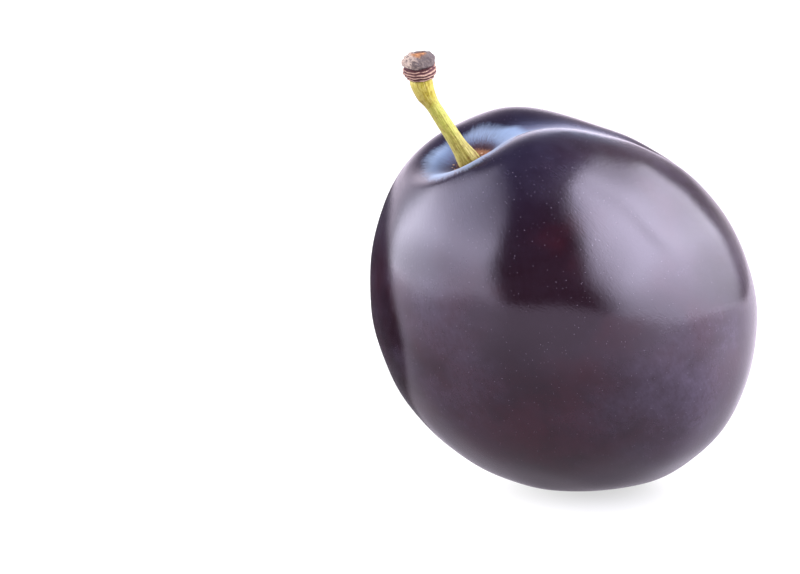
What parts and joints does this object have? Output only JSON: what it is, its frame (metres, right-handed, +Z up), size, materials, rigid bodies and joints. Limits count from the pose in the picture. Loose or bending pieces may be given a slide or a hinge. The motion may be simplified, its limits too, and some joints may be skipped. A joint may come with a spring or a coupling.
{
  "type": "plum",
  "caption": "Dark purple plum lying on its side, with a stem bowl, a suture, and a short green stem that ends in a brown woody knob.",
  "frame": {"origin": "the middle of the flat underside's level: the centre of the bounding box, at its bottom, where the plum rests", "axes": "+Z up; +Y runs across the fruit, from the near cheek to the far one; the stem leans to -X and a little to -Y, and the suture faces +X and up"},
  "size_m": [0.0482, 0.047, 0.0546],
  "materials": {
    "skin": "smooth waxy plum skin, near-black purple with maroon and blue clouds, pale blue bloom in the bowl and suture, soft gloss",
    "green_stem": "fresh yellow-green stem, matt, with shallow ribs and brown flecks",
    "woody_knob": "dry grey-brown bark with darker grooves between the rings and an orange scar on top"
  },
  "bodies": {
    "root": {"fruit": "skin", "stem": "green_stem", "stem_knob": "woody_knob"}
  },
  "joints": []
}
